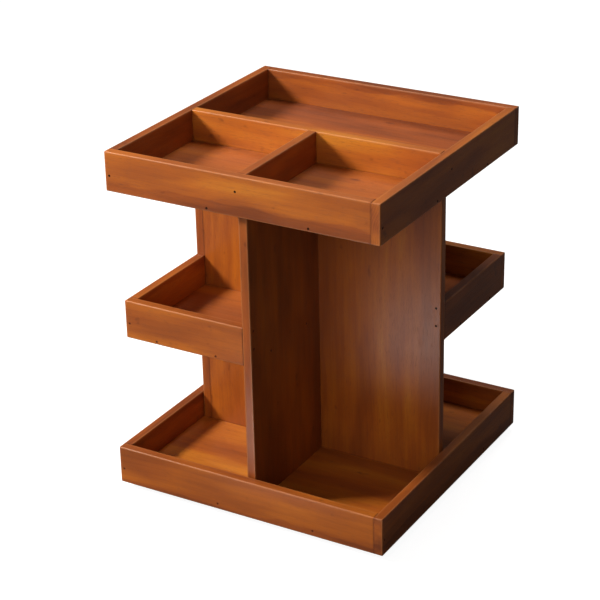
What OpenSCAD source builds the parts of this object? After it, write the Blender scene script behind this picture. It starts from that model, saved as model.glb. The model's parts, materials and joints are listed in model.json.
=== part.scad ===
// Lazy susan desk organizer: a stained wooden tower of trays and bays that turns on a square
// ball-bearing swivel with rubber feet. The origin is on the turning axis, on the surface that it
// stands on. +Z is up and -Y is the front. The boards are butt-jointed, glued and nailed.

/* [Boards] */
// Thickness of the walls, dividers and panels
board_t = 9.5; // [8:0.5:12]
// Thickness of the tray floors
floor_t = 8; // [7:0.5:10]
// Height of the walls of every tray
wall_h = 40; // [34:1:55]

/* [Trays] */
// Outside width of the square base tray
base_w = 300; // [280:1:340]
// Outside width of the square top tray
top_w = 294; // [280:1:340]
// Height of the base tray's floor above the bottom edge of its walls
base_recess = 3; // [1:0.5:5]
// Underside of the two middle trays, above the bottom edge of the base tray's walls
mid_level = 160.5; // [120:0.5:200]
// Underside of the top tray, above the bottom edge of the base tray's walls
top_level = 316.5; // [280:0.5:360]

/* [Core] */
// Gap between the core and the inside of the base tray
core_gap = 1; // [0.5:0.5:3]

/* [Swivel bearing] */
// Width of the square swivel plates
plate_w = 152; // [144:1:160]
// Thickness of the plates' sheet steel
plate_t = 1.2; // [1:0.1:1.3]
// Height of the whole bearing
bearing_h = 8; // [8:0.5:10]
// Radius of the circle that the balls run on
race_r = 55; // [53:0.5:58]
// Diameter of one ball
ball_d = 4; // [3.8:0.1:4]
// Number of balls
ball_count = 24; // [12:1:30]
// Distance between neighbouring corner holes of a plate
hole_pitch = 132; // [130:1:134]

/* [Rubber feet] */
// Diameter of a rubber foot
pad_d = 17; // [12:0.5:18]
// Height of a rubber foot below the lower plate
pad_h = 2.5; // [2:0.5:5]

/* [Fasteners] */
// Length of a brad
brad_l = 25; // [20:1:30]
// Diameter of a brad's shank
brad_d = 1.3; // [1:0.1:1.6]
// Diameter of a brad's head
brad_head_d = 2.2; // [1.8:0.1:2.6]
// Depth that a brad's head is set below the wood
brad_set = 0.6; // [0.3:0.1:1]
// Diameter of a wood screw's shank
screw_d = 3.2; // [2.8:0.1:3.6]
// Diameter of a wood screw's pan head
screw_head_d = 7; // [6:0.1:7.5]

/* [Hidden] */
$fn = 96;

swivel_z = pad_h;                   // underside of the bearing
base_floor_z = swivel_z + bearing_h; // underside of the base tray's floor
floor_z = base_floor_z + floor_t;   // upper face of the base tray's floor
lift = base_floor_z - base_recess;  // bottom edge of the base tray's walls
mid_z = lift + mid_level;           // underside of the middle trays
top_z = lift + top_level;           // underside of the top tray
base_in = base_w / 2 - board_t;     // half the inside width of the base tray
top_in = top_w / 2 - board_t;       // half the inside width of the top tray
core = base_in - core_gap;          // half the outside width of the core
half_t = board_t / 2;

// The long panel and the long divider stand in front of the turning axis and end on it.
long_front = -board_t;
long_back = 0;
long_mid = (long_front + long_back) / 2;

// Swivel bearing: heights are above its own underside
race_z = bearing_h / 2;             // centre of the balls
groove_r = ball_d / 2 + 0.15;       // radius of the groove that the balls run in
sheet_r = groove_r + plate_t;       // radius of the groove's other face
groove_half_w = 2.7;                // half the width between a groove's two shoulders
crest_w = 1.2;                      // flat top of the shoulder beside the groove
crest_gap = 0.9;                    // height from the balls' centre to a shoulder
ramp_w = 1.7;                       // run of the slope from a shoulder to the flat plate
ramp_r = race_r + groove_half_w + crest_w + ramp_w; // radius where that slope starts
flat_r = race_r + 7;                // radius where the stamped ring meets the flat plate
back_w = 3.5;                       // half the width of the groove seen from its other face
back_h = 1.7;                       // height of that face's edge above the flat plate
fold_w = 0.6;                       // step between the two faces of the sheet where it bends
collar_r = 42;                      // inside radius of the collar that holds the plates together
collar_gap = 1.2;                   // clearance between the collar and the upper plate
lip_r = 48.4;                       // outside radius of the lip rolled over the upper plate
lip_gap = 0.3;                      // clearance between that lip and the upper plate
rim_z = race_z + 0.6;               // underside of the upper plate's inner rim
plate_corner_r = 6;
hole_r = 2.2;                       // corner holes in the plates
cage_t = 0.8;                       // thickness of the ball cage
cage_half_w = 3.5;                  // half the width of its ring
cage_play = 0.15;                   // clearance between a ball and its pocket
screw_bite = 6;                     // depth of a screw in the wood
screw_head_h = 1.8;

// Rubber feet, each pushed into a corner hole of the lower plate
pad_taper = 0.8;                    // how much narrower a foot is at the surface it stands on
stem_r = hole_r - 0.1;
barb_r = hole_r + 0.9;
barb_h = 1.6;                       // height of the barb above the plate
barb_gap = 0.1;

// Brads, as heights above a tray's underside or places along a wall
corner_nail_z = 0.4 * wall_h;
divider_nail_z = 0.62 * wall_h;
floor_nail_z = 3;                   // into the tray floor, a little below its middle
wall_nail_x = [-34, 74];            // along each wall of the base and top trays, into the floor
panel_nail_z = [40, 140, 270];      // up an upright joint of the core
panel_nail_at = [0.2, 0.8];         // share of a panel's width, for brads through a floor
tray_joint_z = [0.45, 0.92];        // share of a wall's height, for brads through a panel
shelf_nail_gap = 34;                // from the middle of a shelf's edge to a brad

// ---- Shared shapes ----

// Points of an arc about [c, h], from angle a0 to a1
function arc(c, h, r, a0, a1, steps = 12) =
    [for (i = [0:steps]) let (a = a0 + (a1 - a0) * i / steps) [c + r * cos(a), h + r * sin(a)]];

// A board given by its lowest and highest corners
module board(low, high) {
    color([0.62, 0.31, 0.13]) translate(low) cube(high - low);
}

// One wall of a square tray: it laps the next wall's end, so each corner shows one end.
// side 0 is the front wall, and 1, 2 and 3 are the right, back and left walls.
module tray_wall(w, z, side) {
    rotate(90 * side) board([-w / 2, -w / 2, z], [w / 2 - board_t, -w / 2 + board_t, z + wall_h]);
}

// A brad that enters the wood at a point and runs along +Z, turned by rot
module brad(at, rot = [0, 0, 0]) {
    color([0.35, 0.33, 0.3]) translate(at) rotate(rot) translate([0, 0, brad_set]) {
        cylinder(d = brad_head_d, h = 0.8, $fn = 24);
        cylinder(d = brad_d, h = brad_l - brad_set, $fn = 24);
    }
}

// Turns that carry a brad's +Z to the way it is driven
to_back = [-90, 0, 0];
to_front = [90, 0, 0];
to_right = [0, 90, 0];
to_left = [0, -90, 0];
down = [180, 0, 0];

// The brads of a square tray's walls: one through each lapped corner, and some into the floor
module tray_wall_brads(w, z, floor_up) {
    for (side = [0:3]) rotate(90 * side) {
        brad([-w / 2 + half_t, -w / 2, z + corner_nail_z], to_back);
        for (x = wall_nail_x) brad([x, -w / 2, z + floor_up + floor_nail_z], to_back);
    }
}

// ---- Rubber feet ----

module rubber_foot(index) {
    plate_top = pad_h + plate_t;
    color([0.1, 0.1, 0.1]) rotate(45 + 90 * (index - 1)) translate([hole_pitch / sqrt(2), 0, 0])
        rotate_extrude() polygon([
            [0, 0], [pad_d / 2 - pad_taper, 0], [pad_d / 2, pad_taper], [pad_d / 2, pad_h],
            [stem_r, pad_h], [stem_r, plate_top + barb_gap], [barb_r, plate_top + barb_gap],
            [stem_r, plate_top + barb_h], [0, plate_top + barb_h]
        ]);
}

// ---- Swivel bearing ----

// The flat square part of a swivel plate, with its four corner holes
module plate_blank() {
    edge = plate_w / 2 - plate_corner_r;
    difference() {
        union() {
            translate([-plate_w / 2, -edge, 0]) cube([plate_w, 2 * edge, plate_t]);
            translate([-edge, -plate_w / 2, 0]) cube([2 * edge, plate_w, plate_t]);
            for (x = [-edge, edge], y = [-edge, edge])
                translate([x, y, 0]) cylinder(r = plate_corner_r, h = plate_t);
        }
        translate([0, 0, -1]) cylinder(r = flat_r, h = plate_t + 2, $fn = 180);
        for (x = [-1, 1], y = [-1, 1])
            translate([x * hole_pitch / 2, y * hole_pitch / 2, -1])
                cylinder(r = hole_r, h = plate_t + 2, $fn = 48);
    }
}

// The face of a plate that the balls run on, from the outer shoulder over the groove.
// dir is -1 for the lower plate and 1 for the upper plate.
function ball_face(dir) = concat(
    [
        [race_r + groove_half_w + crest_w, race_z + dir * crest_gap],
        [race_r + groove_half_w, race_z + dir * crest_gap]
    ],
    arc(race_r, race_z, groove_r, dir * 30, dir * 150)
);

// The groove's other face, from the inner side to the outer side
function back_face(dir) = arc(race_r, race_z, sheet_r, dir * 147, dir * 33);

module swivel_lower_plate() {
    shoulder_z = race_z - crest_gap;
    inner_ramp_r = 2 * race_r - ramp_r;
    lip_z = rim_z + plate_t + lip_gap;
    color([0.72, 0.73, 0.75]) translate([0, 0, swivel_z]) {
        plate_blank();
        rotate_extrude($fn = 180) polygon(concat(
            [[flat_r, 0], [flat_r, plate_t], [ramp_r, plate_t]],
            ball_face(-1),
            [
                [race_r - groove_half_w, shoulder_z],
                [race_r - groove_half_w - crest_w, shoulder_z],
                [inner_ramp_r, plate_t], [collar_r + plate_t, plate_t],
                [collar_r + plate_t, lip_z], [lip_r, lip_z], [lip_r, lip_z + plate_t],
                [collar_r, lip_z + plate_t], [collar_r, 0],
                [inner_ramp_r + fold_w, 0], [race_r - back_w, back_h]
            ],
            back_face(-1),
            [[race_r + back_w, back_h], [ramp_r - fold_w, 0]]
        ));
    }
}

module swivel_upper_plate() {
    flat_z = bearing_h - plate_t;
    rim_r = collar_r + plate_t + collar_gap;
    color([0.72, 0.73, 0.75]) translate([0, 0, swivel_z]) {
        translate([0, 0, flat_z]) plate_blank();
        rotate_extrude($fn = 180) polygon(concat(
            [[flat_r, bearing_h], [flat_r, flat_z], [ramp_r, flat_z]],
            ball_face(1),
            [
                [race_r - groove_half_w, rim_z], [rim_r, rim_z],
                [rim_r, rim_z + plate_t], [race_r - back_w, rim_z + plate_t]
            ],
            back_face(1),
            [[race_r + back_w, bearing_h - back_h], [ramp_r - fold_w, bearing_h]]
        ));
    }
}

module ball_cage() {
    cage_z = swivel_z + race_z - crest_gap + lip_gap;
    color([0.9, 0.89, 0.84]) translate([0, 0, cage_z]) difference() {
        cylinder(r = race_r + cage_half_w, h = cage_t, $fn = 180);
        translate([0, 0, -1]) cylinder(r = race_r - cage_half_w, h = cage_t + 2, $fn = 180);
        for (i = [1:ball_count]) rotate(360 / ball_count * i) translate([race_r, 0, -1])
            cylinder(d = ball_d + 2 * cage_play, h = cage_t + 2, $fn = 32);
    }
}

module bearing_balls() {
    color([0.85, 0.86, 0.88]) for (i = [1:ball_count]) rotate(360 / ball_count * i)
        translate([race_r, 0, swivel_z + race_z]) sphere(d = ball_d, $fn = 32);
}

// Four pan-head screws that hold the upper plate to the base tray's floor
module swivel_screws() {
    head_r = screw_head_d / 2;
    color([0.78, 0.78, 0.76]) for (x = [-1, 1], y = [-1, 1])
        translate([x * hole_pitch / 2, y * hole_pitch / 2, base_floor_z - plate_t]) {
            difference() {
                rotate_extrude($fn = 48) polygon([
                    [0, 0], [head_r, 0], [head_r, -screw_head_h / 2],
                    [head_r - 1, -screw_head_h], [0, -screw_head_h]
                ]);
                for (turn = [0, 90]) rotate(turn)
                    translate([-2, -0.5, -screw_head_h - 1]) cube([4, 1, 2]);
            }
            cylinder(d = screw_d, h = plate_t + screw_bite, $fn = 48);
        }
}

// ---- Base tray ----

module base_floor() {
    board([-base_in, -base_in, base_floor_z], [base_in, base_in, floor_z]);
}

module base_tray_brads() { tray_wall_brads(base_w, lift, base_recess); }

// ---- Core: a long panel across the tower, one panel before it and two behind it ----

module long_panel() {
    board([-core + board_t, long_front, floor_z], [core, long_back, top_z]);
}

module front_panel() {
    board([-half_t, -core, floor_z], [half_t, long_front, top_z]);
}

module back_panel() {
    board([-half_t, long_back, floor_z], [half_t, core, top_z]);
}

// Closes the outer side of the tall bay behind the long panel
module side_panel() {
    board([-core, long_front, floor_z], [-core + board_t, core, top_z]);
}

module core_brads() {
    // Through the long panel into the front panel, and through the side panel into the long one
    for (z = panel_nail_z) {
        brad([0, long_back, floor_z + z], to_front);
        brad([-core, long_mid, floor_z + z], to_right);
    }
    for (share = panel_nail_at) {
        under_dividers = [
            [-core + 2 * core * share, long_mid], [0, -core + (core + long_front) * share]
        ];
        behind = [[0, core * share], [-core + half_t, core * share]];
        // Up through the base tray's floor into every panel's lower end
        for (p = concat(under_dividers, behind)) brad([p[0], p[1], base_floor_z]);
        // Down through the top tray's floor, where its dividers then cover the heads
        for (p = under_dividers) brad([p[0], p[1], top_z + floor_t], down);
    }
}

// ---- Middle trays: each fills one quarter of the tower and has two walls of its own ----

module front_shelf_floor() {
    board([-core + board_t, -core + board_t, mid_z], [-half_t, long_front, mid_z + floor_t]);
}

module front_shelf_front_wall() {
    board([-core, -core, mid_z], [-half_t, -core + board_t, mid_z + wall_h]);
}

module front_shelf_left_wall() {
    board([-core, -core + board_t, mid_z], [-core + board_t, long_front, mid_z + wall_h]);
}

module front_shelf_brads() {
    mid = -core / 2;
    nail_z = mid_z + floor_nail_z;
    brad([-core + half_t, -core, mid_z + corner_nail_z], to_back);
    for (share = tray_joint_z) brad([half_t, -core + half_t, mid_z + wall_h * share], to_left);
    for (step = [-shelf_nail_gap, shelf_nail_gap]) {
        brad([mid + step, -core, nail_z], to_back);
        brad([-core, mid + step, nail_z], to_right);
        brad([half_t, mid + step, nail_z], to_left);
        brad([mid + step, long_back, nail_z], to_front);
    }
}

module back_shelf_floor() {
    board([half_t, long_back, mid_z], [core - board_t, core - board_t, mid_z + floor_t]);
}

module back_shelf_back_wall() {
    board([half_t, core - board_t, mid_z], [core, core, mid_z + wall_h]);
}

module back_shelf_right_wall() {
    board([core - board_t, long_back, mid_z], [core, core - board_t, mid_z + wall_h]);
}

module back_shelf_brads() {
    mid = core / 2;
    nail_z = mid_z + floor_nail_z;
    brad([core - half_t, core, mid_z + corner_nail_z], to_front);
    for (share = tray_joint_z) {
        brad([core - half_t, long_front, mid_z + wall_h * share], to_back);
        brad([-half_t, core - half_t, mid_z + wall_h * share], to_right);
    }
    for (step = [-shelf_nail_gap, shelf_nail_gap]) {
        brad([mid + step, core, nail_z], to_front);
        brad([core, mid + step, nail_z], to_left);
        brad([-half_t, mid + step, nail_z], to_right);
    }
}

// ---- Top tray ----

module top_floor() {
    board([-top_in, -top_in, top_z], [top_in, top_in, top_z + floor_t]);
}

module top_long_divider() {
    board([-top_in, long_front, top_z + floor_t], [top_in, long_back, top_z + wall_h]);
}

module top_short_divider() {
    board([-half_t, -top_in, top_z + floor_t], [half_t, long_front, top_z + wall_h]);
}

module top_tray_brads() {
    nail_z = top_z + divider_nail_z;
    tray_wall_brads(top_w, top_z, 0);
    brad([-half_t / 2, -top_w / 2, nail_z], to_back);
    brad([0, long_back, nail_z], to_front);
    brad([-top_w / 2, long_mid, nail_z], to_right);
    brad([top_w / 2, long_mid, nail_z], to_left);
}

for (i = [1:4]) rubber_foot(i);
swivel_lower_plate();
swivel_upper_plate();
swivel_screws();
ball_cage();
bearing_balls();

base_floor();
tray_wall(base_w, lift, 0);  // base_front_wall
tray_wall(base_w, lift, 1);  // base_right_wall
tray_wall(base_w, lift, 2);  // base_back_wall
tray_wall(base_w, lift, 3);  // base_left_wall
base_tray_brads();

long_panel();
front_panel();
back_panel();
side_panel();
core_brads();

front_shelf_floor();
front_shelf_front_wall();
front_shelf_left_wall();
front_shelf_brads();
back_shelf_floor();
back_shelf_back_wall();
back_shelf_right_wall();
back_shelf_brads();

top_floor();
tray_wall(top_w, top_z, 0);  // top_front_wall
tray_wall(top_w, top_z, 1);  // top_right_wall
tray_wall(top_w, top_z, 2);  // top_back_wall
tray_wall(top_w, top_z, 3);  // top_left_wall
top_long_divider();
top_short_divider();
top_tray_brads();
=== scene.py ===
"""Looks for the lazy susan organizer: stained wooden boards with eased edges, set nails and
solid-wood grain, and the steel, nylon and rubber of its swivel. Everything is in metres, in the
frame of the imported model: +Z up, -Y the front, the origin on the turning axis at the table."""

import json
import math
import random

import bmesh
import bpy
from mathutils import Matrix, Vector


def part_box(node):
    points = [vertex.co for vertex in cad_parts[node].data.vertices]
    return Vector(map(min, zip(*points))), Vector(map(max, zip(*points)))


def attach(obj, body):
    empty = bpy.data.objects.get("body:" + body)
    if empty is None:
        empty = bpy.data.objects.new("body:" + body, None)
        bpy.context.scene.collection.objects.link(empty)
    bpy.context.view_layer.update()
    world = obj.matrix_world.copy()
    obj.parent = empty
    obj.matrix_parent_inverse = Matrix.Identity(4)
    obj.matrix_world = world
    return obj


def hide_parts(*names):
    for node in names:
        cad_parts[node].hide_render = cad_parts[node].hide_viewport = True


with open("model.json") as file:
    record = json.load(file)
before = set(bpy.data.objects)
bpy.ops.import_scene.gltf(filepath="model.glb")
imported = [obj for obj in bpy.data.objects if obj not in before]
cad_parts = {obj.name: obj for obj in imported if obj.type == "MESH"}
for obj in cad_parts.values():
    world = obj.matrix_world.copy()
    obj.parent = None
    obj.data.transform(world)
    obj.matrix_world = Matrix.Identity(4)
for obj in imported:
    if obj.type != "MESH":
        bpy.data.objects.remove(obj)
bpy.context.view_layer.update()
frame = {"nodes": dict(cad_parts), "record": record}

MM = 0.001
NODES = frame["nodes"]
BODY_OF = {n: b for b, names in frame["record"]["behaviour"]["bodies"].items() for n in names}
SLOT_OF = {s["node"]: s["material_slot"] for s in frame["record"]["subparts"]}
WOOD_SLOTS = ("stained_wood", "tray_floor_wood", "panel_wood")
BOARDS = [n for n in NODES if SLOT_OF[n] in WOOD_SLOTS]
BRAD_GROUPS = [n for n in NODES if SLOT_OF[n] == "brad_steel"]
BOX_OF = {n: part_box(n) for n in BOARDS}

FREE_EASE = 0.9 * MM      # rounding of an edge that a hand can reach
JOINT_EASE = 0.14 * MM    # rounding where two boards meet
LOOP_IN = 3 * MM          # distance of the support loops from a board's edges
TOUCH = 0.2 * MM          # how near another board counts as touching
PIT_RADIUS = 1.25 * MM
PIT_DEPTH = 0.62 * MM     # just deep enough to show the nail's head
PIT_OVERLAP = 0.02 * MM   # how far a pit reaches past the nail's head
PIT_TAPER = (0.90, 1.12)  # a pit's radius at the head and above the wood, over PIT_RADIUS
PIT_SIDES = 14
BALL_LEAST = 1 * MM       # a loose part of the bearing smaller than this is not a ball
ON_EDGE = 1e-6            # how near a point of a plain box is to the edge that it lies on
IN_PLANE = 1e-5           # how near a point of a nail's end is to the plane of that end
WELD = 1e-7               # distance below which two points of a CAD mesh are one
SHARP_ANGLE = math.radians(40)
END_FACING = 0.7          # a face turned this far along the grain shows end grain

# Measures of the wood's grain, in metres
GRAIN_BAND = 0.0065       # width of the colour bands that growth rings leave on a face
YEAR_RING = 0.0021        # width of one yearly ring, seen on cut ends
PITH_SKEW = 0.035         # how far the pith runs askew, for each metre along the board
HEART_WAVE = 0.022        # how far the edge of the heartwood wanders
PORE_DEPTH = 0.00012      # depth of the bump that pores and fibres leave

SCRATCH_DEPTH = 0.0001    # depth of the bump of fine scratches in metal


# ---- Small helpers for shader nodes ----

def add_node(tree, kind, inputs=(), **settings):
    """A new shader node. inputs maps a socket to a value, or to the output that feeds it."""
    made = tree.nodes.new(kind)
    for name, value in settings.items():
        setattr(made, name, value)
    for socket, value in dict(inputs).items():
        if isinstance(value, bpy.types.NodeSocket):
            tree.links.new(value, made.inputs[socket])
        else:
            made.inputs[socket].default_value = value
    return made


def math_node(tree, operation, a, b=0.0, c=0.0, clamp=False):
    return add_node(
        tree, "ShaderNodeMath", {0: a, 1: b, 2: c}, operation=operation, use_clamp=clamp
    ).outputs[0]


def vector_node(tree, operation, a, b=(0, 0, 0)):
    made = add_node(tree, "ShaderNodeVectorMath", {0: a, 1: b}, operation=operation)
    return made.outputs["Value" if operation == "LENGTH" else "Vector"]


def remap(tree, value, low, high, to_low=0.0, to_high=1.0, smooth=True):
    return add_node(
        tree,
        "ShaderNodeMapRange",
        {"Value": value, "From Min": low, "From Max": high, "To Min": to_low, "To Max": to_high},
        interpolation_type="SMOOTHSTEP" if smooth else "LINEAR",
    ).outputs["Result"]


def noise(tree, vector, per_metre, detail=2.0, roughness=0.5):
    """Noise whose features are 1 / per_metre long along each axis."""
    scaled = vector_node(tree, "MULTIPLY", vector, per_metre)
    return add_node(
        tree,
        "ShaderNodeTexNoise",
        {"Vector": scaled, "Scale": 1.0, "Detail": detail, "Roughness": roughness},
    )


def mix_colour(tree, factor, a, b, blend="MIX"):
    made = add_node(tree, "ShaderNodeMix", {0: factor, 6: a, 7: b}, data_type="RGBA")
    made.blend_type = blend
    return made.outputs[2]


def ramp(tree, value, stops):
    made = add_node(tree, "ShaderNodeValToRGB", {0: value})
    elements = made.color_ramp.elements
    while len(elements) < len(stops):
        elements.new(0.5)
    for element, (position, colour) in zip(elements, stops):
        element.position = position
        element.color = (*colour, 1)
    return made.outputs["Color"]


def new_material(name):
    made = bpy.data.materials.new(name)
    made.use_nodes = True
    return made, made.node_tree, made.node_tree.nodes["Principled BSDF"]


# ---- Wood ----

def wood_group():
    """Solid-wood grain: growth rings round a far-off pith, streaks, fibres, pores, knots and a
    dark strip, which is heartwood and, along the top of the base tray's left wall, painted shade.
    The grain runs along the X of the board's "grain" attribute, and every face of a board cuts
    through the same wood."""
    group = bpy.data.node_groups.new("solid_wood", "ShaderNodeTree")
    for name in ("Tone", "Red", "Pores", "Height", "Knots", "Rings"):
        group.interface.new_socket(name, in_out="OUTPUT", socket_type="NodeSocketFloat")
    out = group.nodes.new("NodeGroupOutput")
    grain = add_node(group, "ShaderNodeAttribute", attribute_name="grain").outputs["Vector"]

    wander = noise(group, grain, (4.0, 16.0, 16.0), detail=2.0).outputs["Color"]
    wander = vector_node(group, "SUBTRACT", wander, (0.5, 0.5, 0.5))
    wander = vector_node(group, "MULTIPLY", wander, (0.0, 0.020, 0.020))
    wandered = vector_node(group, "ADD", grain, wander)

    # Growth rings: distance from the pith, which the grain runs slightly askew to
    along = add_node(group, "ShaderNodeSeparateXYZ", {0: wandered}).outputs["X"]
    radius = vector_node(group, "LENGTH", vector_node(group, "MULTIPLY", wandered, (0, 1, 1)))
    radius = math_node(group, "MULTIPLY_ADD", along, PITH_SKEW, radius)
    ring = math_node(group, "FRACT", math_node(group, "DIVIDE", radius, GRAIN_BAND))
    late_wood = math_node(group, "POWER", ring, 3.0)
    ring_end = remap(group, ring, 0.93, 1.0)
    before_end = math_node(group, "SUBTRACT", 1.0, ring_end)
    late_wood = math_node(group, "MULTIPLY", late_wood, before_end)
    # The yearly rings themselves, fine enough to show only where the wood is cut across
    rings = math_node(group, "FRACT", math_node(group, "DIVIDE", radius, YEAR_RING))
    rings = math_node(group, "POWER", rings, 2.0)

    streaks = remap(group, noise(group, wandered, (5, 75, 75), 3.0, 0.55).outputs["Fac"], 0.3, 0.7)
    bands = remap(group, noise(group, grain, (2.5, 26, 26), 2.0).outputs["Fac"], 0.3, 0.7)
    lines = remap(group, noise(group, wandered, (16, 420, 420), 2.0).outputs["Fac"], 0.25, 0.75)
    fibres = noise(group, grain, (60, 1900, 1900), 2.0).outputs["Fac"]
    pore_noise = noise(group, grain, (130, 3400, 3400), 1.0).outputs["Fac"]
    pores = remap(group, pore_noise, 0.60, 0.72)
    blotch = remap(group, noise(group, grain, (11, 30, 30), 3.0, 0.6).outputs["Fac"], 0.32, 0.68)
    clouds = remap(group, noise(group, grain, (9, 42, 42), 2.0).outputs["Fac"], 0.35, 0.68)

    tone = 0.32
    for pattern, share in (
        (streaks, 0.12), (bands, 0.17), (clouds, 0.20), (lines, 0.05), (fibres, 0.09),
        (late_wood, -0.06),
    ):
        tone = math_node(group, "MULTIPLY_ADD", pattern, share, tone)

    # Darker heartwood beyond a wavy line along the board; along the top of the base tray's left
    # wall this strip is painted shade
    depth = add_node(group, "ShaderNodeAttribute", attribute_name="heart_and_shade_depth").outputs["Fac"]
    wave = noise(group, grain, (14, 60, 60), 3.0).outputs["Fac"]
    wave = math_node(group, "SUBTRACT", wave, 0.5)
    depth = math_node(group, "MULTIPLY_ADD", wave, HEART_WAVE, depth)
    heart_and_shade = remap(group, depth, -0.0012, 0.0018)
    tone = math_node(group, "MULTIPLY_ADD", heart_and_shade, -0.14, tone)

    # Small pin knots, far apart
    cells = vector_node(group, "MULTIPLY", grain, (9.0, 22.0, 22.0))
    voronoi = add_node(group, "ShaderNodeTexVoronoi", {"Vector": cells, "Scale": 1.0})
    knots = remap(group, voronoi.outputs["Distance"], 0.075, 0.02)
    smudge_noise = noise(group, grain, (60, 95, 95), 2.0).outputs["Fac"]
    smudges = remap(group, smudge_noise, 0.66, 0.78, 0.0, 0.7)
    knots = math_node(group, "MAXIMUM", knots, smudges)

    red = math_node(group, "MULTIPLY_ADD", blotch, 0.7, math_node(group, "MULTIPLY", bands, -0.3))
    red = math_node(group, "MULTIPLY_ADD", heart_and_shade, 0.45, red)
    red = math_node(group, "ADD", red, 0.3, clamp=True)
    height = math_node(group, "MULTIPLY_ADD", pores, -1.0, fibres)
    height = math_node(group, "MULTIPLY_ADD", lines, 0.35, height)
    for name, value in (
        ("Tone", tone), ("Red", red), ("Pores", pores), ("Height", height), ("Knots", knots),
        ("Rings", rings),
    ):
        group.links.new(value, out.inputs[name])
    return group


# Stain colours from the darkest streak to the lightest
STAIN = (
    (0.00, (0.095, 0.020, 0.004)),
    (0.30, (0.205, 0.049, 0.009)),
    (0.55, (0.345, 0.086, 0.012)),
    (0.75, (0.470, 0.130, 0.013)),
    (1.00, (0.610, 0.215, 0.020)),
)
RED_FILTER = (0.86, 0.66, 0.80, 1)
PORE_COLOUR = (0.060, 0.014, 0.004, 1)
KNOT_COLOUR = (0.090, 0.016, 0.005, 1)
# Lighter colour of free edges: worn stain and a painted highlight
WORN_AND_HIGHLIGHT_COLOUR = (0.54, 0.21, 0.065, 1)
POOLED_COLOUR = (0.055, 0.012, 0.004, 1)


def stained_wood(name, group, tone_shift=0.0, red_amount=0.36, dullest=0.46, glossiest=0.37):
    """Stained and waxed wood. dullest and glossiest are its roughness in the pores and on the
    fibres."""
    made, tree, shader = new_material(name)
    wood = add_node(tree, "ShaderNodeGroup", node_tree=group).outputs
    edge = add_node(tree, "ShaderNodeAttribute", attribute_name="edge").outputs["Fac"]
    end_grain = add_node(tree, "ShaderNodeAttribute", attribute_name="end_grain").outputs["Fac"]
    board_tone_and_shade = add_node(tree, "ShaderNodeAttribute", attribute_name="board_tone_and_shade").outputs["Fac"]

    # The board's tone includes the painted light and shade set for it
    tone = math_node(tree, "ADD", wood["Tone"], board_tone_and_shade)
    tone = math_node(tree, "ADD", tone, tone_shift)
    rings = math_node(tree, "MULTIPLY_ADD", wood["Rings"], -0.16, -0.06)
    tone = math_node(tree, "MULTIPLY_ADD", end_grain, rings, tone)
    colour = ramp(tree, tone, STAIN)
    reddened = mix_colour(tree, 1.0, colour, RED_FILTER, "MULTIPLY")
    red = math_node(tree, "MULTIPLY", wood["Red"], red_amount)
    colour = mix_colour(tree, red, colour, reddened)
    pores = math_node(tree, "MULTIPLY", wood["Pores"], 0.40)
    colour = mix_colour(tree, pores, colour, PORE_COLOUR)
    knots = math_node(tree, "MULTIPLY", wood["Knots"], 0.65)
    colour = mix_colour(tree, knots, colour, KNOT_COLOUR)

    # Stain is rubbed thin on free edges, which are also lightened as a painted highlight along the
    # rims, and pools in the joints
    worn_and_highlight = remap(tree, edge, 0.35, 1.0, 0.0, 0.26)
    colour = mix_colour(tree, worn_and_highlight, colour, WORN_AND_HIGHLIGHT_COLOUR)
    pooled = remap(tree, edge, -0.45, -1.0, 0.0, 0.32)
    colour = mix_colour(tree, pooled, colour, POOLED_COLOUR)

    roughness = remap(tree, wood["Height"], 0.2, 1.0, dullest, glossiest, smooth=False)
    roughness = math_node(tree, "MULTIPLY_ADD", end_grain, 0.06, roughness)
    bump = add_node(
        tree, "ShaderNodeBump",
        {"Height": wood["Height"], "Strength": 0.45, "Distance": PORE_DEPTH},
    ).outputs["Normal"]
    tree.links.new(colour, shader.inputs["Base Color"])
    tree.links.new(roughness, shader.inputs["Roughness"])
    tree.links.new(bump, shader.inputs["Normal"])
    shader.inputs["Specular IOR Level"].default_value = 0.37
    shader.inputs["Coat Weight"].default_value = 0.16
    shader.inputs["Coat Roughness"].default_value = 0.30
    return made


def dull_stain(name, dark, light):
    """Stained wood crushed by the nail set, or the stained filler over a nail: dull and uneven."""
    made, tree, shader = new_material(name)
    place = add_node(tree, "ShaderNodeTexCoord").outputs["Object"]
    mottle = noise(tree, place, (3000, 3000, 3000), 2.0).outputs["Fac"]
    tree.links.new(ramp(tree, mottle, ((0.3, dark), (0.7, light))), shader.inputs["Base Color"])
    shader.inputs["Roughness"].default_value = 0.8
    return made


# ---- Boards ----

def box_edges():
    """The twelve edges of a box, as (axis, side, side): the axis it runs along and, for each of
    the two other axes in order, 0 for the low face and 1 for the high face."""
    return [(axis, a, b) for axis in range(3) for a in (0, 1) for b in (0, 1)]


def edge_point(low, high, edge, share):
    """The point at a share, from 0 to 1, of the way along an edge of the box."""
    axis, sides = edge[0], edge[1:]
    others = [i for i in range(3) if i != axis]
    point = Vector((0, 0, 0))
    point[axis] = low[axis] + (high[axis] - low[axis]) * share
    for other, side in zip(others, sides):
        point[other] = high[other] if side else low[other]
    return point


def edge_eases(name):
    """How much each edge of a board is rounded: little where other boards meet it."""
    low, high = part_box(name)
    eases = {}
    for edge in box_edges():
        shares = [0.02, 0.2, 0.4, 0.6, 0.8, 0.98]
        points = [edge_point(low, high, edge, share) for share in shares]
        met = sum(any(touches(other, p) for other in BOARDS if other != name) for p in points)
        eases[edge] = JOINT_EASE if met >= len(shares) / 2 else FREE_EASE
    return eases


def touches(name, point):
    """Whether a point lies in or against a board."""
    low, high = BOX_OF[name]
    return all(low[i] - TOUCH < point[i] < high[i] + TOUCH for i in range(3))


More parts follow.
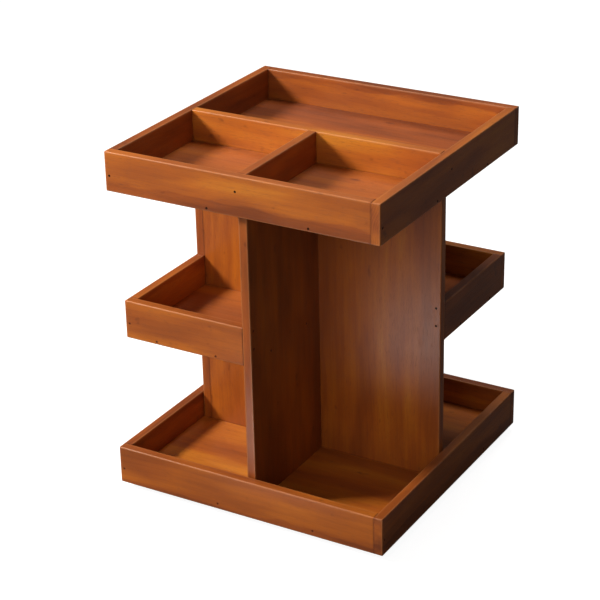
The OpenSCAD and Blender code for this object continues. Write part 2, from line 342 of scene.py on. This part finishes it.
def box_edge_near(low, high, point, reach):
    """Which edge of the box a point lies within reach of, or None. A corner counts with one of
    its three edges."""
    near = [i for i in range(3) if min(point[i] - low[i], high[i] - point[i]) < reach]
    if len(near) < 2:
        return None
    if len(near) == 3:
        near = near[:2]
    axis = ({0, 1, 2} - set(near)).pop()
    sides = [1 if high[i] - point[i] < point[i] - low[i] else 0 for i in near]
    return (axis, *sides)


def board_mesh(name, eases):
    """A board with support loops just inside its edges, its edges rounded by weight."""
    low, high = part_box(name)
    mesh = bpy.data.meshes.new(name + "_blank")
    bm = bmesh.new()
    bmesh.ops.create_cube(bm, size=1)
    for v in bm.verts:
        v.co = Vector([high[i] if v.co[i] > 0 else low[i] for i in range(3)])
    for axis in range(3):
        normal = Vector([1.0 if i == axis else 0.0 for i in range(3)])
        for place in (low[axis] + LOOP_IN, high[axis] - LOOP_IN):
            geometry = bm.verts[:] + bm.edges[:] + bm.faces[:]
            bmesh.ops.bisect_plane(bm, geom=geometry, plane_co=normal * place, plane_no=normal)
    weights = bm.edges.layers.float.new("bevel_weight_edge")
    for e in bm.edges:
        middle = (e.verts[0].co + e.verts[1].co) / 2
        ends = [box_edge_near(low, high, v.co, ON_EDGE) for v in e.verts]
        edge = box_edge_near(low, high, middle, ON_EDGE)
        if edge and None not in ends:
            e[weights] = eases[edge] / FREE_EASE
    bm.normal_update()
    bm.to_mesh(mesh)
    bm.free()
    return mesh


def loose_parts(node_name):
    """The points of each separate nail or ball of a node."""
    bm = bmesh.new()
    bm.from_mesh(NODES[node_name].data)
    bmesh.ops.remove_doubles(bm, verts=bm.verts[:], dist=WELD)
    left = dict.fromkeys(bm.verts)
    parts = []
    while left:
        part, queue = [], [left.popitem()[0]]
        while queue:
            v = queue.pop()
            part.append(v.co.copy())
            for e in v.link_edges:
                other = e.other_vert(v)
                if other in left:
                    del left[other]
                    queue.append(other)
        parts.append(part)
    bm.free()
    return parts


def corners(points):
    """The lowest and the highest corner of the box round the points."""
    low = Vector([min(p[i] for p in points) for i in range(3)])
    high = Vector([max(p[i] for p in points) for i in range(3)])
    return low, high


def nail_head(points):
    """(place of the head's face, direction out of the wood) of one nail from its points. The
    head is the end that is wider."""
    low, high = corners(points)
    size = high - low
    axis = max(range(3), key=lambda i: size[i])
    middle = (low + high) / 2
    low_reach, high_reach = (
        max((p - middle).length_squared for p in points if abs(p[axis] - end[axis]) < IN_PLANE)
        for end in (low, high)
    )
    head_end, side = (low, -1) if low_reach > high_reach else (high, 1)
    out = Vector((0, 0, 0))
    out[axis] = side
    middle[axis] = head_end[axis]
    return middle, out


def cutter_mesh(pits, material):
    """One short cone for each pit, from the nail's head up out of the wood."""
    mesh = bpy.data.meshes.new("pit_cutters")
    bm = bmesh.new()
    for head, out in pits:
        turn = Vector((0, 0, 1)).rotation_difference(out).to_matrix().to_4x4()
        length = 2 * PIT_DEPTH
        bmesh.ops.create_cone(
            bm, cap_ends=True, segments=PIT_SIDES, depth=length,
            radius1=PIT_RADIUS * PIT_TAPER[0], radius2=PIT_RADIUS * PIT_TAPER[1],
            matrix=Matrix.Translation(head + out * (length / 2 - PIT_OVERLAP)) @ turn,
        )
    bm.to_mesh(mesh)
    bm.free()
    mesh.materials.append(material)
    return mesh


def finished_board(name, material, pit, pits):
    """The board as one mesh: rounded edges, nail pits cut in, and the attributes of its wood."""
    eases = edge_eases(name)
    blank = bpy.data.objects.new(name + "_blank", board_mesh(name, eases))
    blank.data.materials.append(material)
    bpy.context.scene.collection.objects.link(blank)
    bevel = blank.modifiers.new("ease", "BEVEL")
    bevel.limit_method = "WEIGHT"
    bevel.width = FREE_EASE
    bevel.segments = 3
    own_pits = [(head, out) for head, out in pits if touches(name, head)]
    cutter = None
    if own_pits:
        cutter = bpy.data.objects.new("pit_cutter", cutter_mesh(own_pits, pit))
        bpy.context.scene.collection.objects.link(cutter)
        cut = blank.modifiers.new("pits", "BOOLEAN")
        cut.operation = "DIFFERENCE"
        cut.solver = "EXACT"
        cut.material_mode = "TRANSFER"
        cut.object = cutter
    shaped = blank.evaluated_get(bpy.context.evaluated_depsgraph_get())
    mesh = bpy.data.meshes.new_from_object(shaped)
    for scrap in filter(None, (blank, cutter)):
        bpy.data.objects.remove(scrap)
    mesh.name = name + "_board"
    add_wood_attributes(mesh, name, eases)
    for polygon in mesh.polygons:
        polygon.use_smooth = True
    mesh.set_sharp_from_angle(angle=SHARP_ANGLE)
    piece = bpy.data.objects.new(name + "_board", mesh)
    bpy.context.scene.collection.objects.link(piece)
    weighted = piece.modifiers.new("flat_faces", "WEIGHTED_NORMAL")
    weighted.keep_sharp = True
    return piece


def add_wood_attributes(mesh, name, eases):
    """What the wood's material reads: the place in the log, free and met edges, the board's own
    tone with its painted light and shade, the depth into its dark strip, which is heartwood and on
    one board painted shade, and the cut ends."""
    low, high = BOX_OF[name]
    size = high - low
    axis = max(range(3), key=lambda i: round(size[i], 5))
    others = [i for i in range(3) if i != axis]
    random.seed(name)
    # Where the board was cut from the log: along it, and round the pith
    along = random.uniform(-2, 2)
    turn = random.uniform(0, math.tau)
    from_pith = random.uniform(0.05, 0.16)
    offset = Vector((along, from_pith * math.cos(turn), from_pith * math.sin(turn)))
    flip = random.choice((-1, 1))
    # A random tone plus the board's set tone, which holds painted light and shade
    tone = random.uniform(-0.045, 0.045) + BOARD_TONES_AND_SHADE.get(name, 0.0)
    middle = (low + high) / 2
    # The dark strip: heartwood, and on the base tray's left wall painted shade
    strip_axis, strip_side, strip_share = HEARTWOOD_AND_SHADE.get(name, NO_HEARTWOOD)
    strip_start = size[strip_axis] * (0.5 - strip_share)

    places, edge_values, heart_and_shade_depths = [], [], []
    for v in mesh.vertices:
        p = v.co - middle
        places.extend(Vector((p[axis] * flip, p[others[0]], p[others[1]])) + offset)
        heart_and_shade_depths.append(p[strip_axis] * strip_side - strip_start)
        near = box_edge_near(low, high, v.co, LOOP_IN / 2)
        edge_values.append((1.0 if eases[near] == FREE_EASE else -1.0) if near else 0.0)
    ends = [float(abs(polygon.normal[axis]) > END_FACING) for polygon in mesh.polygons]
    set_attribute(mesh, "grain", "FLOAT_VECTOR", "POINT", places)
    set_attribute(mesh, "edge", "FLOAT", "POINT", edge_values)
    set_attribute(mesh, "board_tone_and_shade", "FLOAT", "POINT", [tone] * len(mesh.vertices))
    set_attribute(mesh, "heart_and_shade_depth", "FLOAT", "POINT", heart_and_shade_depths)
    set_attribute(mesh, "end_grain", "FLOAT", "FACE", ends)


def set_attribute(mesh, name, kind, domain, values):
    made = mesh.attributes.new(name, kind, domain)
    made.data.foreach_set("vector" if kind == "FLOAT_VECTOR" else "value", values)


# How much lighter each board is, or darker below 0. Besides the wood's own tone these hold painted
# light and shade. The right walls of the base and the back middle tray, the front panel, and the
# left walls of the top and base trays are darkened as painted shade. The top tray's right wall and
# the floors of the base and the front middle tray are lightened as painted light.
BOARD_TONES_AND_SHADE = {
    "top_floor": 0.01, "top_front_wall": 0.06, "top_left_wall": -0.12, "top_right_wall": 0.13,
    "top_back_wall": 0.04, "top_long_divider": 0.10,
    "front_shelf_floor": 0.10, "front_shelf_front_wall": -0.03, "front_shelf_left_wall": 0.04,
    "back_shelf_right_wall": -0.16,
    "long_panel": 0.05, "front_panel": -0.12, "side_panel": -0.10,
    "base_floor": 0.08, "base_front_wall": -0.02, "base_left_wall": -0.10,
    "base_right_wall": -0.13,
}

# Boards with a dark strip: the axis across it, the side it lies on (+1 or -1), and its
#  share of the board's breadth. The strip is heartwood, except on the base tray's left wall,
#  where it darkens the top and the rim as painted shade.
HEARTWOOD_AND_SHADE = {
    "top_floor": (1, 1, 0.20), "top_front_wall": (2, -1, 0.26), "top_back_wall": (2, 1, 0.20),
    "front_shelf_left_wall": (2, 1, 0.20), "back_shelf_floor": (1, 1, 0.30),
    "side_panel": (1, 1, 0.30),
    "base_front_wall": (2, -1, 0.13), "base_right_wall": (2, -1, 0.35),
    # base_left_wall's strip along its top is painted shade, not heartwood
    "base_back_wall": (2, 1, 0.30), "base_left_wall": (2, 1, 0.22),
}
NO_HEARTWOOD = (2, -1, -1)

# The nails of these trays were filled and stained over
FILLED = ("base_", "front_shelf_")


def make_boards():
    """A finished board in place of each plain one."""
    group = wood_group()
    woods = {
        "stained_wood": stained_wood("stained_wood", group),
        "tray_floor_wood": stained_wood("tray_floor_wood", group, 0.02, 0.46),
        "panel_wood": stained_wood("panel_wood", group, -0.02, 0.50, 0.36, 0.28),
    }
    open_pit = dull_stain("nail_pit", (0.030, 0.008, 0.003), (0.085, 0.022, 0.008))
    filled_pit = dull_stain("filled_pit", (0.125, 0.026, 0.007), (0.210, 0.048, 0.010))
    pits = [nail_head(points) for brads in BRAD_GROUPS for points in loose_parts(brads)]
    for name in BOARDS:
        pit = filled_pit if name.startswith(FILLED) else open_pit
        piece = finished_board(name, woods[SLOT_OF[name]], pit, pits)
        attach(piece, BODY_OF[name])
        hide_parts(name)


# ---- Swivel, fasteners and feet ----

def metal(name, colour, roughness, scale, spread=0.08):
    """Metal with fine scratches and slightly uneven gloss."""
    made, tree, shader = new_material(name)
    place = add_node(tree, "ShaderNodeTexCoord").outputs["Object"]
    cloud = noise(tree, place, (60, 60, 60), 3.0).outputs["Fac"]
    fine = noise(tree, place, (scale, scale, scale), 3.0).outputs["Fac"]
    darker = tuple(c * 0.72 for c in colour)
    tone = math_node(tree, "MULTIPLY_ADD", cloud, 0.6, math_node(tree, "MULTIPLY", fine, 0.4))
    tree.links.new(ramp(tree, tone, ((0.35, darker), (0.65, colour))), shader.inputs["Base Color"])
    gloss = remap(tree, cloud, 0.3, 0.7, roughness - spread, roughness + spread, smooth=False)
    tree.links.new(gloss, shader.inputs["Roughness"])
    bump = add_node(
        tree, "ShaderNodeBump", {"Height": fine, "Strength": 0.12, "Distance": SCRATCH_DEPTH}
    )
    tree.links.new(bump.outputs["Normal"], shader.inputs["Normal"])
    shader.inputs["Metallic"].default_value = 1.0
    return made


def polymer(name, dark, light, roughness, grain_scale, bump_depth):
    """Moulded nylon or rubber: mottled tone and a fine matt texture."""
    made, tree, shader = new_material(name)
    place = add_node(tree, "ShaderNodeTexCoord").outputs["Object"]
    mottle = noise(tree, place, (140, 140, 140), 3.0).outputs["Fac"]
    fine = noise(tree, place, (grain_scale,) * 3, 2.0).outputs["Fac"]
    tree.links.new(ramp(tree, mottle, ((0.3, dark), (0.7, light))), shader.inputs["Base Color"])
    gloss = remap(tree, mottle, 0.3, 0.7, roughness - 0.05, roughness + 0.05, smooth=False)
    tree.links.new(gloss, shader.inputs["Roughness"])
    bump = add_node(
        tree, "ShaderNodeBump", {"Height": fine, "Strength": 0.3, "Distance": bump_depth}
    )
    tree.links.new(bump.outputs["Normal"], shader.inputs["Normal"])
    return made


def ground_balls(material):
    """The bearing's balls as closed spheres. Their CAD mesh has stray triangles, too small to be
    balls, which are left out."""
    mesh = bpy.data.meshes.new("ground_balls")
    bm = bmesh.new()
    for points in loose_parts("bearing_balls"):
        low, high = corners(points)
        radius = (high.z - low.z) / 2
        if radius > BALL_LEAST:
            place = Matrix.Translation((low + high) / 2)
            bmesh.ops.create_uvsphere(
                bm, u_segments=24, v_segments=16, radius=radius, matrix=place
            )
    for face in bm.faces:
        face.smooth = True
    bm.to_mesh(mesh)
    bm.free()
    mesh.materials.append(material)
    balls = bpy.data.objects.new("ground_balls", mesh)
    bpy.context.scene.collection.objects.link(balls)
    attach(balls, BODY_OF["bearing_balls"])
    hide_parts("bearing_balls")


def finish_hardware():
    """Materials for everything that isn't a board."""
    looks = {
        "swivel_steel": metal("zinc_plated_sheet", (0.62, 0.63, 0.66), 0.34, 900),
        "ball_steel": metal("polished_ball_steel", (0.74, 0.75, 0.77), 0.12, 1200, 0.03),
        "screw_steel": metal("zinc_plated_screw", (0.66, 0.66, 0.64), 0.30, 1500),
        "brad_steel": metal("dull_nail_steel", (0.050, 0.028, 0.018), 0.60, 2500),
        "cage_plastic": polymer(
            "natural_nylon", (0.60, 0.57, 0.49), (0.72, 0.70, 0.62), 0.45, 1800, 0.0001
        ),
        "foot_rubber": polymer(
            "black_rubber", (0.012, 0.012, 0.012), (0.030, 0.030, 0.030), 0.72, 2600, 0.0002
        ),
    }
    filler = dull_stain("stained_filler", (0.120, 0.025, 0.007), (0.190, 0.042, 0.010))
    for name, node in NODES.items():
        if name in BOARDS or name == "bearing_balls":
            continue
        node.data.materials.clear()
        nails_filled = name in BRAD_GROUPS and name.startswith(FILLED)
        look = filler if nails_filled else looks[SLOT_OF[name]]
        node.data.materials.append(look)
    ground_balls(looks[SLOT_OF["bearing_balls"]])


# ---- Stage, light and camera ----

POOL_CENTRE = (-0.015, -0.353, 0)  # a pool of light on the floor in front of the object
POOL_FULL, POOL_END = 0.04, 0.16   # radius where the pool starts to fade, and where it ends
POOL_GLOW = 4.8


def make_floor():
    """A floor that looks white, and throws back only part of the light that falls on it. In
    reflections it is brightest in a pool of light, as a lit table top in a dim room is."""
    bpy.ops.mesh.primitive_plane_add(size=14)
    floor = bpy.context.object
    floor.name = "studio_floor"
    made, tree, shader = new_material("pale_floor")
    path = add_node(tree, "ShaderNodeLightPath").outputs
    place = add_node(tree, "ShaderNodeNewGeometry").outputs["Position"]
    from_pool = vector_node(tree, "SUBTRACT", place, POOL_CENTRE)
    away = remap(tree, vector_node(tree, "LENGTH", from_pool), POOL_FULL, POOL_END)
    mirrored = mix_colour(tree, away, (0.40, 0.39, 0.38, 1), (0.15, 0.15, 0.15, 1))
    bounced = mix_colour(tree, path["Is Diffuse Ray"], mirrored, (0.11, 0.107, 0.104, 1))
    colour = mix_colour(tree, path["Is Camera Ray"], bounced, (0.38, 0.38, 0.38, 1))
    tree.links.new(colour, shader.inputs["Base Color"])
    shader.inputs["Roughness"].default_value = 0.9
    shader.inputs["Specular IOR Level"].default_value = 0.1
    shader.inputs["Emission Color"].default_value = (1, 1, 1, 1)
    pool = remap(tree, away, 1.0, 0.0, 0.0, POOL_GLOW, smooth=False)
    pool = math_node(tree, "MULTIPLY", pool, path["Is Glossy Ray"])
    glow = math_node(tree, "MULTIPLY_ADD", path["Is Camera Ray"], 0.92, pool)
    tree.links.new(glow, shader.inputs["Emission Strength"])
    floor.data.materials.append(made)


def area_light(name, direction, distance, size, power, colour, aim=(0, 0, 0.17)):
    """A square light at a distance from the point that it faces, in the given direction."""
    light = bpy.data.lights.new(name, "AREA")
    light.shape = "SQUARE"
    light.size = size
    light.energy = power
    light.color = colour
    lamp = bpy.data.objects.new(name, light)
    bpy.context.scene.collection.objects.link(lamp)
    away = Vector(direction).normalized()
    lamp.location = Vector(aim) + away * distance
    lamp.rotation_euler = (-away).to_track_quat("-Z", "Y").to_euler()


def make_world():
    """A white background that gives the object only a little light."""
    world = bpy.data.worlds.new("studio")
    bpy.context.scene.world = world
    world.use_nodes = True
    tree = world.node_tree
    path = add_node(tree, "ShaderNodeLightPath").outputs
    strength = math_node(tree, "MULTIPLY_ADD", path["Is Camera Ray"], 1.0, 0.045)
    strength = math_node(tree, "MULTIPLY_ADD", path["Is Glossy Ray"], 0.03, strength)
    background = tree.nodes["Background"]
    background.inputs["Color"].default_value = (1.0, 0.985, 0.97, 1)
    tree.links.new(strength, background.inputs["Strength"])


def make_camera():
    """A long lens from the front right, a little above."""
    camera = bpy.data.cameras.new("camera")
    camera.sensor_width = 36
    camera.lens = 113.9
    camera.clip_end = 50
    holder = bpy.data.objects.new("camera", camera)
    bpy.context.scene.collection.objects.link(holder)
    yaw, down, roll = math.radians(30.60), math.radians(24.72), math.radians(-1.26)
    turn = Matrix.Rotation(yaw, 3, "Z") @ Matrix.Rotation(math.pi / 2 - down, 3, "X")
    turn = turn @ Matrix.Rotation(roll, 3, "Z")
    place = Vector((0.8650, -1.5016, 0.9794))
    holder.matrix_world = Matrix.Translation(place) @ turn.to_4x4()
    bpy.context.scene.camera = holder


def set_stage():
    make_floor()
    make_world()
    area_light("key", (-0.70, -0.49, 0.55), 1.6, 0.32, 37, (1.0, 0.965, 0.92), (0, 0, 0.25))
    area_light("front_fill", (0.02, -1.0, 0.28), 2.2, 1.6, 10, (1.0, 0.97, 0.94))
    area_light("overhead", (-0.10, 0.35, 1.0), 1.8, 0.8, 13, (1.0, 0.97, 0.93))
    area_light("camera_fill", (0.30, -0.88, 0.42), 2.4, 1.2, 5.2, (1.0, 0.97, 0.95))
    area_light("back_fill", (0.05, 1.0, 0.03), 2.4, 1.2, 6, (1.0, 0.97, 0.95))
    make_camera()
    bpy.context.scene.view_settings.view_transform = "Standard"


make_boards()
finish_hardware()
set_stage()
